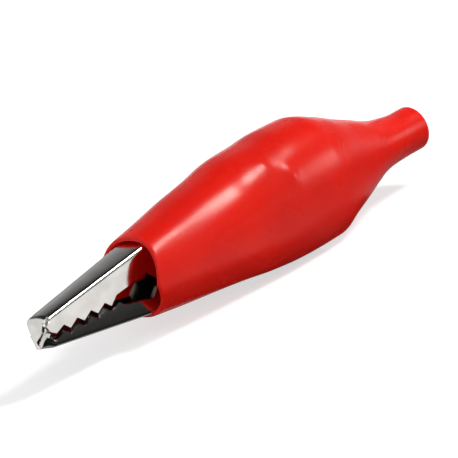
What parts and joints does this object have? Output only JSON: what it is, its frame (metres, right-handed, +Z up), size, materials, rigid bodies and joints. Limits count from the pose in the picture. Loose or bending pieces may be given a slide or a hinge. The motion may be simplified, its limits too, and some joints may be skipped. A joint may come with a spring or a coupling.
{
  "type": "crocodile clip",
  "caption": "Insulated crocodile clip: toothed, sprung jaws of nickel-plated sheet steel on a rivet, in a soft red boot with a cable tail.",
  "frame": {"origin": "centre of the bounding box in plan, at its base", "axes": "+X along the clip from the nose to the cable tail, +Y across it along the rivet, +Z up from the lower jaw to the upper jaw and its thumb lever"},
  "size_m": [0.054, 0.0112, 0.0121],
  "materials": {
    "nickel_plated_upper": "bright nickel plate on sheet steel",
    "nickel_plated_lower": "bright nickel plate on sheet steel",
    "nickel_plated_rivet": "nickel-plated steel",
    "nickel_plated_screw": "nickel-plated steel",
    "spring_wire": "drawn spring wire",
    "red_soft_pvc": "satin, soft PVC"
  },
  "bodies": {
    "lower_body": {"lower_jaw": "nickel_plated_lower", "pivot_rivet": "nickel_plated_rivet", "torsion_spring": "spring_wire", "boot": "red_soft_pvc"},
    "upper_body": {"upper_jaw": "nickel_plated_upper"},
    "screw_body": {"terminal_screw": "nickel_plated_screw"}
  },
  "joints": [
    {"name": "jaw_hinge", "type": "hinge", "parent": "lower_body", "child": "upper_body", "pos_m": [-0.007, 0, 0.00512], "axis": [0, 1, 0], "range_deg": [0, 20], "stiffness_Nm_per_rad": 0.02, "springref_deg": -5.73, "deforming": ["torsion_spring", "boot"]},
    {"name": "screw_travel", "type": "slide", "parent": "lower_body", "child": "screw_body", "axis": [0, 0, 1], "range_m": [-0.0005, 0]}
  ]
}
